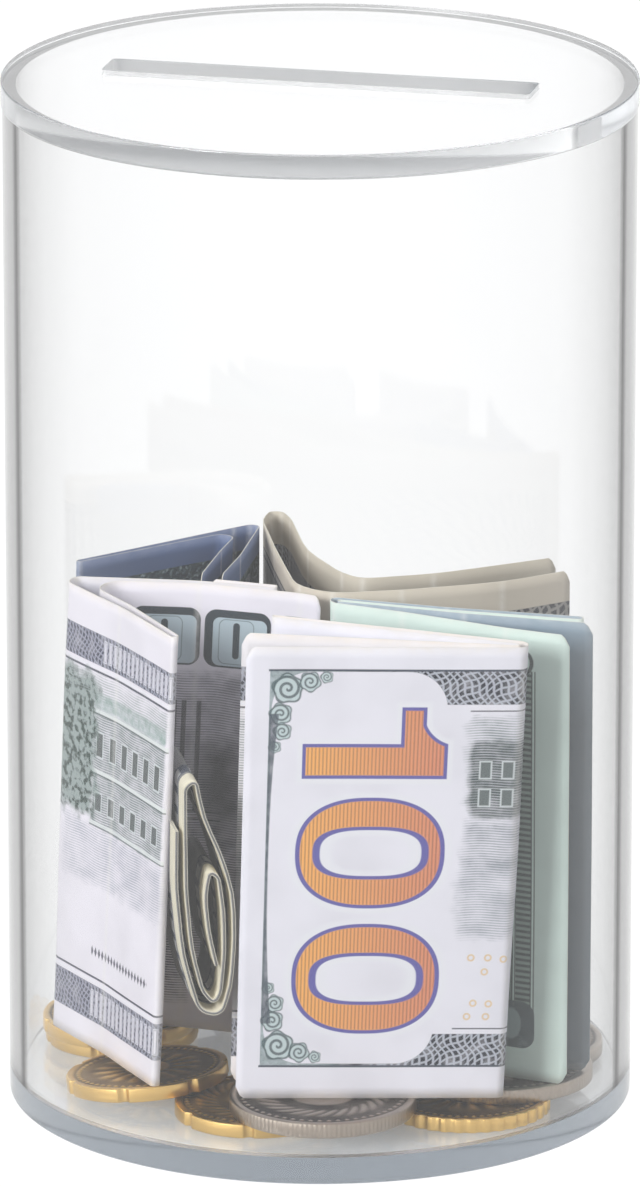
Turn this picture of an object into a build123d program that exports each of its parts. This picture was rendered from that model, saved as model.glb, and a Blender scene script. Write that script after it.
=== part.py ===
"""Clear acrylic money jar, shown with savings in it.

The jar is three bonded acrylic pieces: a side tube, a round lid with a money slot
and a round base.  Inside it lie loose coins, and folded notes that stand on them.

Frame: millimetres, +Z up, origin at the centre of the underside.  The slot runs along X.
The savings are laid out in the heap's own frame, which is turned about Z against the slot.
"""
from build123d import *
from math import hypot, tan, radians
import os

os.makedirs("parts", exist_ok=True)

# ---- jar ----------------------------------------------------------------------------
JAR_D = 90.0                 # outside of the tube and of the base
JAR_H = 150.0                # whole height
WALL = 2.0                   # tube wall
BASE_T = 4.0                 # base disc
LID_T = 3.5                  # lid disc
LID_LIP = 0.2                # the lid stands this far out past the tube
SLOT_L = 62.0                # money slot, along X
SLOT_W = 7.0                 # money slot, along Y
SLOT_CORNER = 0.6            # corner radius of the sawn slot
EASED_EDGE = 0.25            # flame-polished outer edges

# ---- savings ------------------------------------------------------------------------
HEAP_TURN = 13.5             # the heap's X axis against the slot, degrees
COIN_T = 2.1                 # small and middle coins
BIG_COIN_T = 2.2             # large coins
RIM_W = 1.1                  # raised rim of a coin
RIM_H = 0.15                 # height of the rim over the field
NOTE_W = 67.0                # a note's short side, which stands upright
PAPER = 0.4                  # thickness of a note's solid
BEND_SHARE = 0.45            # part of the shorter run that a bend takes up
WIDEST_BEND = 30.0           # largest bend radius in a note

FLOOR_Z = BASE_T
SECOND_Z = FLOOR_Z + COIN_T              # top of one layer of coins
NOTE_Z = SECOND_Z + BIG_COIN_T           # the notes stand on two layers of coins
TUBE_H = JAR_H - BASE_T - LID_T


# ---- jar pieces ---------------------------------------------------------------------
with BuildPart() as base_disc:
    with BuildSketch():
        Circle(JAR_D / 2)
    extrude(amount=BASE_T)
    chamfer(base_disc.edges().group_by(Axis.Z)[0], EASED_EDGE)
base_disc.part.label = "base_disc"
export_step(base_disc.part, "parts/base_disc.step")

with BuildPart() as side_tube:
    with BuildSketch(Plane.XY.offset(BASE_T)):
        Circle(JAR_D / 2)
        Circle(JAR_D / 2 - WALL, mode=Mode.SUBTRACT)
    extrude(amount=TUBE_H)
side_tube.part.label = "side_tube"
export_step(side_tube.part, "parts/side_tube.step")

with BuildPart() as slotted_lid:
    with BuildSketch(Plane.XY.offset(JAR_H - LID_T)):
        Circle(JAR_D / 2 + LID_LIP)
        RectangleRounded(SLOT_L, SLOT_W, SLOT_CORNER, mode=Mode.SUBTRACT)
    extrude(amount=LID_T)
    outer_edges = slotted_lid.edges().filter_by(GeomType.CIRCLE).group_by(SortBy.RADIUS)[-1]
    chamfer(outer_edges, EASED_EDGE)
slotted_lid.part.label = "slotted_lid"
export_step(slotted_lid.part, "parts/slotted_lid.step")


# ---- helpers for the savings --------------------------------------------------------
def heap_plane(height):
    """A level plane in the heap's frame."""
    return Plane.XY.offset(height).rotated((0, 0, HEAP_TURN))


def heap_vector(x, y, z):
    """A direction given in the heap's frame, in the part's frame."""
    return Vector(x, y, z).rotate(Axis.Z, HEAP_TURN)


def bend_radii(points):
    """The largest tangent arc at each inner corner that leaves its two runs room."""
    radii = []
    for before, corner, after in zip(points, points[1:], points[2:]):
        run_in = Vector(*corner) - Vector(*before)
        run_out = Vector(*after) - Vector(*corner)
        half_turn = radians(run_in.get_angle(run_out)) / 2
        shorter = min(run_in.length, run_out.length)
        radii.append(min(WIDEST_BEND, BEND_SHARE * shorter / tan(half_turn)))
    return radii


def path_length(points):
    """Length of the straight runs through the points."""
    return sum(hypot(b[0] - a[0], b[1] - a[1]) for a, b in zip(points, points[1:]))


def folded_note(label, mouth, lean):
    """A note folded like a screen.  mouth is the path of its upper edge, seen from above,
    and lean is how far the upper edge stands to the right of the lower one."""
    foot = [(x - lean, y) for x, y in mouth]
    with BuildPart() as note:
        with BuildSketch(heap_plane(NOTE_Z)):
            with BuildLine():
                FilletPolyline(*foot, radius=bend_radii(foot))
            trace(line_width=PAPER)
        extrude(amount=NOTE_W, dir=heap_vector(lean, 0, NOTE_W))
    note.part.label = label
    export_step(note.part, f"parts/{label}.step")
    print(label, "flat length", round(path_length(mouth), 1))


def coin(label, centre, height, diameter, thickness, edge="plain", up=(0, 0)):
    """A coin.  centre and height place the middle of its underside, and up is the way its
    upper face leans, as the X and Y of its normal."""
    seat = heap_plane(0).from_local_coords((centre[0], centre[1], height))
    with BuildPart() as piece:
        with BuildSketch(Plane(origin=seat, z_dir=heap_vector(up[0], up[1], 1))):
            Circle(diameter / 2)
            if edge == "notched":
                with PolarLocations(diameter / 2 + 0.35, 7):
                    Circle(0.85, mode=Mode.SUBTRACT)
            if edge == "scalloped":
                with PolarLocations(diameter / 2 + 0.75, 36):
                    Circle(1.0, mode=Mode.SUBTRACT)
        extrude(amount=thickness)
        for face in (piece.faces().sort_by(SortBy.AREA)[-2:]):
            with BuildSketch(Plane(face)):
                Circle(diameter / 2 - RIM_W)
            extrude(amount=-RIM_H, mode=Mode.SUBTRACT)
    piece.part.label = label
    export_step(piece.part, f"parts/{label}.step")


# ---- coins --------------------------------------------------------------------------
SMALL_D = 22.9               # notched brass coin
MIDDLE_D = 23.6              # scalloped brass coin
LARGE_D = 26.4               # large silver-coloured coin

coin("coin_left_lower", (-29.3, 9.5), FLOOR_Z, SMALL_D, COIN_T, "notched")
coin("coin_left_upper", (-29.6, 7.8), SECOND_Z, SMALL_D, COIN_T, "notched")
coin("coin_front_left", (-24.4, -15.0), FLOOR_Z + 1.34, SMALL_D, COIN_T, "notched",
     up=(-0.097, 0.063))
coin("coin_front_inner", (-9.1, -25.0), FLOOR_Z, SMALL_D, COIN_T, "notched")
coin("coin_front_centre", (0.4, -29.2), SECOND_Z, LARGE_D, BIG_COIN_T)
coin("coin_front_right", (20.6, -22.4), FLOOR_Z, MIDDLE_D, COIN_T, "scalloped")
coin("coin_right_upper", (25.2, -14.7), SECOND_Z, LARGE_D, BIG_COIN_T)
coin("coin_right_lower", (29.7, 3.0), FLOOR_Z, MIDDLE_D, COIN_T)
coin("coin_back_lower", (-3.0, 26.0), FLOOR_Z, LARGE_D, COIN_T)
coin("coin_back_upper", (2.0, 21.0), SECOND_Z, SMALL_D, BIG_COIN_T, "notched")

# ---- notes that stand on the coins --------------------------------------------------
folded_note("note_front", [
    (-10.2, -31.0), (28.7, -31.0), (28.7, -28.3), (-6.9, -15.0), (-6.5, -16.2),
    (27.6, -29.2), (27.6, -30.1), (-10.9, -23.9)], lean=2.0)
folded_note("note_right", [
    (34.4, -25.3), (26.0, -21.4), (11.6, -13.6), (1.5, -8.9), (1.5, -6.2),
    (18.0, -11.3), (36.7, -16.2), (36.4, -17.3), (18.0, -12.6), (2.6, -7.5),
    (2.6, -8.4), (20.3, -14.4), (37.7, -19.3)], lean=0.0)
folded_note("note_back", [
    (34.5, 13.8), (16.4, 5.6), (6.0, 3.0), (3.0, 6.0), (-2.0, 17.5), (-4.4, 34.0),
    (-5.6, 37.6), (-7.4, 37.8), (-8.6, 33.5), (-6.8, 19.7), (-3.4, -0.4), (1.6, -4.4),
    (11.7, -2.6), (26.3, 1.4), (36.3, 7.2)], lean=0.0)
folded_note("note_left", [
    (0.1, -6.2), (-2.8, -4.4), (-17.3, 0.6), (-34.4, 2.6), (-27.0, -10.2), (-19.5, -25.6),
    (-20.6, -26.2), (-28.2, -11.0), (-36.3, 1.6), (-35.4, 4.2), (-17.3, 2.0),
    (-6.4, -1.4), (-6.1, -0.4), (-16.0, 3.0)], lean=3.0)
folded_note("note_far_left", [
    (-17.2, 4.8), (-14.3, 17.5), (-11.6, 28.2), (-35.2, 11.4), (-35.8, 12.3),
    (-10.9, 30.6), (-9.9, 30.0), (-12.3, 15.0), (-14.6, 4.6)], lean=1.8)

# ---- note folded to a narrow strip and curled, held between its neighbours ----------
CURL_FRONT = -31.0           # its front edge, heap Y
CURL_DEPTH = NOTE_W / 4      # the note is folded in four along its length
CURL_PLIES = 0.4             # thickness of the four plies
CURL_PATH = [                # heap X and height above the floor
    (-15.2, 24.0), (-16.1, 29.0), (-16.5, 34.5), (-15.9, 38.0), (-14.9, 37.2),
    (-14.3, 32.0), (-14.2, 26.0), (-14.7, 19.8), (-15.5, 18.4), (-16.8, 20.0),
    (-18.2, 26.5), (-18.8, 35.0), (-18.9, 44.0), (-18.9, 50.5), (-17.6, 51.5),
    (-16.7, 46.0), (-14.7, 40.8), (-13.2, 35.0), (-13.0, 28.0), (-13.4, 21.0),
    (-14.6, 16.6), (-17.2, 17.2), (-19.2, 25.5), (-20.0, 35.5), (-19.9, 44.0)]


with BuildPart() as note_curl:
    corner = heap_plane(FLOOR_Z).from_local_coords((0, CURL_FRONT, 0))
    with BuildSketch(Plane(corner, x_dir=heap_vector(1, 0, 0), z_dir=heap_vector(0, -1, 0))):
        with BuildLine():
            FilletPolyline(*CURL_PATH, radius=bend_radii(CURL_PATH))
        trace(line_width=CURL_PLIES)
    extrude(amount=-CURL_DEPTH)
note_curl.part.label = "note_curl"
export_step(note_curl.part, "parts/note_curl.step")
print("note_curl flat length", round(path_length(CURL_PATH), 1))
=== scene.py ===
"""Looks of a clear acrylic money jar with savings in it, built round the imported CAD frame.

Everything is in metres in the part's own frame.  The savings are laid out in the heap's
frame, whose X axis is turned about Z against the money slot, as in the CAD model.
"""
import math

import bmesh
import bpy
import numpy as np
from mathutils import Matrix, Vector


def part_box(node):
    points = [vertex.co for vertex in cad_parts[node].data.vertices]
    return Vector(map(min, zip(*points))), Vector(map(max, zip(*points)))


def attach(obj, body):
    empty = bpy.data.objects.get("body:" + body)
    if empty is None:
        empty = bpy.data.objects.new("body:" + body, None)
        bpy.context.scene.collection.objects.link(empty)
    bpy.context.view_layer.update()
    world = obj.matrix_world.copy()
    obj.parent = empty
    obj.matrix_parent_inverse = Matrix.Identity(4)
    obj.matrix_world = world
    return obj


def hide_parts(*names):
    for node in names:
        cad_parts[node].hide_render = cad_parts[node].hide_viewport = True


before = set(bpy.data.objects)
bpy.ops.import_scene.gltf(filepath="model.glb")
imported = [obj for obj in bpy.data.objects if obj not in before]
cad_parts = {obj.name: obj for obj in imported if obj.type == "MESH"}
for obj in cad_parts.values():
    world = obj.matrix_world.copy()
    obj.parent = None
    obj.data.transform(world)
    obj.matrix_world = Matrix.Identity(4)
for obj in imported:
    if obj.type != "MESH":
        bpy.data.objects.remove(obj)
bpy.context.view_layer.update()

MM = 0.001

# ---- sizes read from the frame ----
base_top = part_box("base_disc")[1][2]
tube_lo, tube_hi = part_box("side_tube")
lid_lo, lid_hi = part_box("slotted_lid")
JAR_R = (tube_hi[0] - tube_lo[0]) / 2
LID_R = (lid_hi[0] - lid_lo[0]) / 2
JAR_H = lid_hi[2]

# ---- sizes of the design that the frame doesn't give ----
WALL = 2.0 * MM
SLOT_L, SLOT_W, SLOT_CORNER = 62.0 * MM, 7.0 * MM, 0.6 * MM
HEAP_TURN = math.radians(13.5)
NOTE_W, NOTE_Z = 67.0, 8.3   # a note's width and the height it stands at, in millimetres
PAPER = 0.11 * MM

heap_x = np.array([math.cos(HEAP_TURN), math.sin(HEAP_TURN), 0.0])
heap_y = np.array([-math.sin(HEAP_TURN), math.cos(HEAP_TURN), 0.0])
UP = np.array([0.0, 0.0, 1.0])


# ---- helpers ----
def link_object(name, data):
    made = bpy.data.objects.new(name, data)
    bpy.context.scene.collection.objects.link(made)
    return made


def build(name, points, faces, *materials):
    """A smooth piece through these points and faces."""
    mesh = bpy.data.meshes.new(name)
    mesh.from_pydata(points, [], faces)
    mesh.validate()
    for material in materials:
        mesh.materials.append(material)
    mesh.polygons.foreach_set("use_smooth", [True] * len(mesh.polygons))
    return link_object(name, mesh)


def place_facing(thing, place, way):
    """Put a camera or a light at a place, looking along way."""
    thing.location = place
    thing.rotation_mode = "QUATERNION"
    thing.rotation_quaternion = way.to_track_quat("-Z", "Y")


def declare(piece, name, slot):
    """Hang the piece under the root and hide the CAD node that it stands for.  The slot is not
    used.
    """
    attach(piece, "root")
    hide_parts(name)


def unit(vectors):
    return vectors / np.linalg.norm(vectors, axis=-1, keepdims=True)


def new_material(name):
    material = bpy.data.materials.new(name)
    material.use_nodes = True
    material.node_tree.nodes.clear()
    return material, material.node_tree


def feed(tree, socket, value):
    """Link a socket to an Ink, a socket or a node's first output, or set its constant."""
    if isinstance(value, Ink):
        value = value.socket
    if isinstance(value, bpy.types.Node):
        value = value.outputs[0]
    if isinstance(value, bpy.types.NodeSocket):
        tree.links.new(value, socket)
    else:
        socket.default_value = value


def node(tree, kind, **inputs):
    made = tree.nodes.new("ShaderNode" + kind)
    for key, value in inputs.items():
        feed(tree, made.inputs[key.replace("_", " ")], value)
    return made


def srgb(*levels):
    """A colour given in 0..255 screen levels, as linear RGBA."""
    share = [level / 255 for level in levels]
    return tuple(s / 12.92 if s <= 0.04045 else ((s + 0.055) / 1.055) ** 2.4
                 for s in share) + (1.0,)


def mix_colours(tree, share, first, second):
    """From the first colour to the second.  Each is a socket or screen levels."""
    mix = node(tree, "Mix")
    mix.data_type = "RGBA"
    for place, value in ((0, share), (6, first), (7, second)):
        feed(tree, mix.inputs[place], srgb(*value) if isinstance(value, tuple) else value)
    return mix.outputs[2]


def colour_ramp(tree, by, stops):
    """A colour for each value of by, through (position, colour) stops."""
    ramp = node(tree, "ValToRGB", Fac=by)
    elements = ramp.color_ramp.elements
    for position, _ in stops[1:-1]:
        elements.new(position)
    for element, (position, colour) in zip(elements, stops):
        element.position, element.color = position, (*colour, 1)
    return ramp.outputs["Color"]


def by(operation):
    """A method of Ink that makes one Math node."""
    return lambda self, *others: self.math(operation, *others)


class Ink:
    """A number that nodes work out, written as sums."""

    def __init__(self, tree, socket):
        self.tree, self.socket = tree, socket

    def math(self, operation, *others, clamp=False):
        made = node(self.tree, "Math")
        made.operation, made.use_clamp = operation, clamp
        for socket, value in zip(made.inputs, (self, *others)):
            feed(self.tree, socket, value)
        return Ink(self.tree, made.outputs[0])

    __add__ = __radd__ = by("ADD")
    __mul__ = __rmul__ = by("MULTIPLY")
    __sub__, __truediv__, __abs__ = by("SUBTRACT"), by("DIVIDE"), by("ABSOLUTE")
    power, least, most = by("POWER"), by("MINIMUM"), by("MAXIMUM")
    above, below = by("GREATER_THAN"), by("LESS_THAN")
    wave, pingpong = by("SINE"), by("PINGPONG")

    def __rsub__(self, other):
        return self * -1.0 + other

    def capped(self):
        """Held between 0 and 1."""
        return self.math("MINIMUM", 1.0, clamp=True)

    def within(self, soft=0.05):
        """Cover of 1 where this distance is below zero, with a soft edge."""
        return (self * (-0.5 / soft)).math("ADD", 0.5, clamp=True)

    def lines(self, pitch, share):
        """Distance to the nearest of many parallel lines that take this share of the pitch."""
        return self.pingpong(pitch / 2) - pitch * share / 2


# ---- camera: the photograph's viewing angle and framing ----
LENS, SENSOR = 327.8, 36.0
DISTANCE, ELEVATION, AIM_DROP = 1.5495, math.radians(16.56), 1.25 * MM


def make_camera():
    back = Vector((math.sin(HEAP_TURN) * math.cos(ELEVATION),
                   -math.cos(HEAP_TURN) * math.cos(ELEVATION), math.sin(ELEVATION)))
    data = bpy.data.cameras.new("camera")
    data.lens, data.sensor_width, data.sensor_fit = LENS, SENSOR, "AUTO"
    data.clip_start, data.clip_end = 0.05, 30.0
    camera = link_object("camera", data)
    place_facing(camera, Vector((0, 0, JAR_H / 2 - AIM_DROP)) + back * DISTANCE, -back)
    bpy.context.scene.camera = camera


# ---- stage ----
FLOOR_GLOW, CARD_GLOW, SKY_GLOW = 0.99, 0.22, 1.05       # as seen, also through the jar
FLOOR_LIGHT, CARD_LIGHT, SKY_LIGHT = 0.24, 0.0, 0.5      # as matt surfaces gather it
FLOOR_HALF, FLOOR_Z = 12.0, -0.02 * MM
CARD_INSET, CARD_Z = 1.2 * MM, -0.01 * MM
SKY = ((0.0, (1, 1, 1)), (0.5, (1, 1, 1.01)), (0.66, (0.8, 0.8, 0.808)),
       (0.85, (0.75, 0.75, 0.7575)), (0.93, (1, 1, 1.01)), (1.0, (1, 1, 1)))
LIT_POINT = Vector((0, 0, 0.05))
LIGHTS = (                   # name, place, size, watts, seen in gloss
    ("key", (-0.55, -0.85, 0.5), (0.4, 0.45), 9.6, True),
    ("fill", (0.75, -0.6, 0.45), (0.4, 0.5), 1.8, False),
    ("top", (0.1, 0.15, 1.2), (0.5, 0.5), 2.4, False),
)


def diffuse_switch(tree, for_diffuse, otherwise):
    """A strength that is lower for light that matt surfaces gather, so that they keep
    some shade while glass still looks out on white."""
    path = node(tree, "LightPath")
    return node(tree, "MapRange", Value=path.outputs["Is Diffuse Ray"], To_Min=otherwise,
                To_Max=for_diffuse).outputs["Result"]


def stage_sheet(name, material, body, glow, corners, z):
    """A flat sheet of the stage, whose surface also glows."""
    tree = material.node_tree
    glow = node(tree, "Emission", Color=(1, 1, 1, 1), Strength=diffuse_switch(tree, *glow))
    both = node(tree, "AddShader")
    for socket, shader in zip(both.inputs, (body, glow)):
        feed(tree, socket, shader)
    node(tree, "OutputMaterial", Surface=both)
    points = [(x, y, z) for x, y in corners]
    build(name, points, [tuple(range(len(points)))], material)


def make_floor():
    material, tree = new_material("white_floor")
    body = node(tree, "BsdfDiffuse", Color=(0.07, 0.07, 0.07, 1))
    corners = [(x * FLOOR_HALF, y * FLOOR_HALF) for x, y in CORNERS]
    stage_sheet("floor", material, body, (FLOOR_LIGHT, FLOOR_GLOW), corners, FLOOR_Z)


def make_underlay():
    """A white card under the jar, which takes the shade of what lies in it."""
    material, tree = new_material("white_card")
    grain = node(tree, "TexNoise", Scale=900.0)
    bump = node(tree, "Bump", Height=grain, Distance=0.02 * MM)
    body = node(tree, "BsdfPrincipled", Base_Color=srgb(246, 247, 248), Roughness=0.8,
                Normal=bump)
    stage_sheet("underlay", material, body, (CARD_LIGHT, CARD_GLOW),
                circle(JAR_R - CARD_INSET), CARD_Z)


def make_world():
    world = bpy.data.worlds.new("studio")
    bpy.context.scene.world = world
    world.use_nodes = True
    tree = world.node_tree
    tree.nodes.clear()
    where = node(tree, "TexCoord")
    split = node(tree, "SeparateXYZ", Vector=where.outputs["Generated"])
    sky = node(tree, "Background", Color=colour_ramp(tree, split.outputs["Z"], SKY),
               Strength=diffuse_switch(tree, SKY_LIGHT, SKY_GLOW))
    node(tree, "OutputWorld", Surface=sky)


def make_lights():
    """Soft box lights.  None of them shows through the acrylic."""
    for name, place, size, power, in_gloss in LIGHTS:
        data = bpy.data.lights.new(name, "AREA")
        data.shape, data.energy = "RECTANGLE", power
        data.size, data.size_y = size
        light = link_object(name, data)
        place_facing(light, place, LIT_POINT - Vector(place))
        light.visible_glossy, light.visible_transmission = in_gloss, False


# ---- jar meshes ----
AROUND = 360
EDGE = 0.22 * MM             # radius of the polished edges
TUBE_EDGE, BOND_EDGE, SLOT_EDGE = 0.05 * MM, 0.03 * MM, 0.12 * MM
SEAM = 0.02 * MM             # bond line between two acrylic pieces
SUPPORT = 0.04 * MM          # ring beside a rounded edge, which keeps the face flat
CORNERS = ((-1, -1), (1, -1), (1, 1), (-1, 1))
SQUARE = np.array(((1, 0), (0, 1), (-1, 0), (0, -1)))
turns = np.arange(AROUND) * math.tau / AROUND


def circle(radius):
    return np.stack([radius * np.cos(turns), radius * np.sin(turns)], 1)


def rounded_slot(grow):
    """Points round the slot, one for each direction of the circle, grown outwards.  They
    start at the middle of its right end, which keeps the faces between them flat."""
    corner = SLOT_CORNER + grow
    flat = np.array([SLOT_L, SLOT_W]) / 2 - SLOT_CORNER
    arc = math.pi / 2 * corner
    ends = np.cumsum([2 * flat[1], arc, 2 * flat[0], arc] * 2)
    points = []
    for place in (np.arange(AROUND) / AROUND * ends[-1] + flat[1]) % ends[-1]:
        side = int(np.searchsorted(ends, place, side="right"))
        quarter, rest = side // 2, place - ends[side]
        if side % 2:
            angle = (quarter + 1) * math.pi / 2 + rest / corner
            arm = corner * np.array([math.cos(angle), math.sin(angle)])
        else:
            arm = corner * SQUARE[quarter] + rest * SQUARE[(quarter + 1) % 4]
        points.append(flat * CORNERS[(quarter + 2) % 4] + arm)
    return np.array(points)


def edge_rings(profile, radius, z_low, z_high, edge_low, edge_high, outward=1, steps=4):
    """Rings up one wall with rounded lower and upper edges.  profile(grow) gives a ring."""
    low, high = [], []
    for angle in np.linspace(0, math.pi / 2, steps + 1):
        s, c = 1 - math.sin(angle), 1 - math.cos(angle)
        low.append((profile(radius - outward * edge_low * s), z_low + edge_low * c))
        high.append((profile(radius - outward * edge_high * s), z_high - edge_high * c))
    flat = [(profile(radius), z_low + edge_low + SUPPORT),
            (profile(radius), z_high - edge_high - SUPPORT)]
    return low + flat + high[::-1]


def skin_rings(name, rings, loop, material):
    """A closed surface through rings of equal count; loop joins the last to the first,
    otherwise the two end rings are capped."""
    vertices = [(x, y, z) for ring, z in rings for x, y in ring]
    faces = []
    count = len(rings)
    for a in range(count if loop else count - 1):
        b = (a + 1) % count
        for i in range(AROUND):
            j = (i + 1) % AROUND
            faces.append((a * AROUND + i, a * AROUND + j, b * AROUND + j, b * AROUND + i))
    if not loop:
        faces.append(tuple(reversed(range(AROUND))))
        faces.append(tuple((count - 1) * AROUND + i for i in range(AROUND)))
    piece = build(name + "_polished", vertices, faces, material)
    bm = bmesh.new()
    bm.from_mesh(piece.data)
    bmesh.ops.recalc_face_normals(bm, faces=bm.faces)
    bm.to_mesh(piece.data)
    bm.free()
    declare(piece, name, "clear_acrylic")


def pierced(radius, edge, hole, hole_at, hole_edge, low, top):
    """Rings round a piece with a hole through it, up its outer wall and down the hole."""
    outer = edge_rings(circle, radius, low, top, edge, edge)
    inner = edge_rings(hole, hole_at, low, top, hole_edge, hole_edge, outward=-1)
    rim_out, rim_in = circle(radius - edge - SUPPORT), hole(hole_at + hole_edge + SUPPORT)
    return [(rim_out, low), *outer, (rim_out, top), (rim_in, top), *inner[::-1], (rim_in, low)]


def make_jar():
    top = base_top - SEAM
    rings = [(circle(JAR_R - EDGE - SUPPORT), 0.0),
             *edge_rings(circle, JAR_R, 0.0, top, EDGE, BOND_EDGE),
             (circle(JAR_R - BOND_EDGE - SUPPORT), top)]
    # The last number for each kind of face below is its painted shade factor, which darkens
    # that face; the slot walls are painted about half dark.
    skin_rings("base_disc", rings, False, acrylic_material(
        "acrylic_base", 18.0, 0.9 * JAR_R, CLEAR, (EVEN, 0.08, 1.0), CLEAR))
    rings = pierced(JAR_R, TUBE_EDGE, circle, JAR_R - WALL, TUBE_EDGE, tube_lo[2],
                    tube_hi[2] - SEAM)
    skin_rings("side_tube", rings, True, acrylic_material(
        "acrylic_tube", 3.5, JAR_R - WALL / 2, (OUTSIDE, 0.0, 1.0), (SAWN, 0.42, 1.0),
        (INSIDE, 0.0, 1.0), cut_is_flat=True))
    rings = pierced(LID_R, EDGE, rounded_slot, 0.0, SLOT_EDGE, lid_lo[2], lid_hi[2])
    skin_rings("slotted_lid", rings, True, acrylic_material(
        "acrylic_lid", 5.0, 0.9 * JAR_R, CLEAR, (EVEN, 0.10, 0.97), (EVEN, 0.45, 0.47)))


# Painted shade in the acrylic: how clear a skin is kept against how far it turns from the eye
# (0 square on, 1 edge on).  Low levels paint a face dark edge on; the dip in OUTSIDE paints a
# dark line down each side of the tube, and SAWN paints the tube's cut ends dark when seen edge
# on.
EVEN = ((0.0, 0.98), (1.0, 0.98))
SAWN = ((0.0, 0.80), (0.45, 0.55), (0.66, 0.02), (1.0, 0.0))
INSIDE = ((0.0, 0.99), (0.4, 0.95), (0.6, 0.80), (0.75, 0.55), (1.0, 0.05))
OUTSIDE = ((0.0, 0.99), (0.4, 0.94), (0.6, 0.78), (0.68, 0.60), (0.695, 0.20), (0.717, 0.0),
           (0.74, 0.02), (0.76, 0.15), (1.0, 0.16))
CLEAR = (EVEN, 0.0, 1.0)
ACRYLIC_TINT = (1.0, 1.003, 1.005)


def acrylic_material(name, density, reach, skin, cut, inside, cut_is_flat=False):
    """Clear cast acrylic.  Painted shade darkens its colour where its skin is seen edge on,
    and it is dimmer along the long paths that light takes inside a sheet's edge.  Each kind of
    face has its levels of clearness with painted shade against facing, its roughness and a
    painted shade factor; inside faces lie nearer the axis than reach."""
    material, tree = new_material(name)
    where = node(tree, "TexCoord")
    place = node(tree, "SeparateXYZ", Vector=where.outputs["Object"])
    normal = node(tree, "SeparateXYZ", Vector=where.outputs["Normal"])
    x, y = Ink(tree, place.outputs["X"]), Ink(tree, place.outputs["Y"])
    near = (x * x + y * y).power(0.5).below(reach)
    flat = abs(Ink(tree, normal.outputs["Z"])).above(0.9)
    upright = 1.0 - flat
    is_inside = near * upright
    is_cut = flat if cut_is_flat else upright * (1.0 - near)
    facing = node(tree, "LayerWeight", Blend=0.5).outputs["Facing"]
    skin_colour_with_painted_shade, cut_colour_with_painted_shade, inside_colour_with_painted_shade = (
        colour_ramp(tree, facing, [(position, [level * shade * part for part in ACRYLIC_TINT])
                                   for position, level in levels])
        for levels, _, shade in (skin, cut, inside))
    colour_with_painted_shade = mix_colours(tree, is_cut, skin_colour_with_painted_shade, cut_colour_with_painted_shade)
    colour_with_painted_shade = mix_colours(tree, is_inside, colour_with_painted_shade, inside_colour_with_painted_shade)
    glass = node(tree, "BsdfPrincipled", Base_Color=colour_with_painted_shade, IOR=1.49, Transmission_Weight=1.0,
                 Roughness=is_cut * cut[1] + is_inside * inside[1])
    clear = node(tree, "BsdfTransparent", Color=(0.96, 0.965, 0.965, 1))
    path = node(tree, "LightPath")
    lit = Ink(tree, path.outputs["Is Shadow Ray"]).most(path.outputs["Is Diffuse Ray"])
    mix = node(tree, "MixShader")
    for socket, value in zip(mix.inputs, (lit, glass, clear)):
        feed(tree, socket, value)
    haze = node(tree, "VolumeAbsorption", Color=(0.30, 0.36, 0.42, 1), Density=density)
    node(tree, "OutputMaterial", Surface=mix, Volume=haze)
    return material


# ---- printing by nodes ----
MARK = 100.0                 # millimetres of paper to one unit of the UV map


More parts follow.
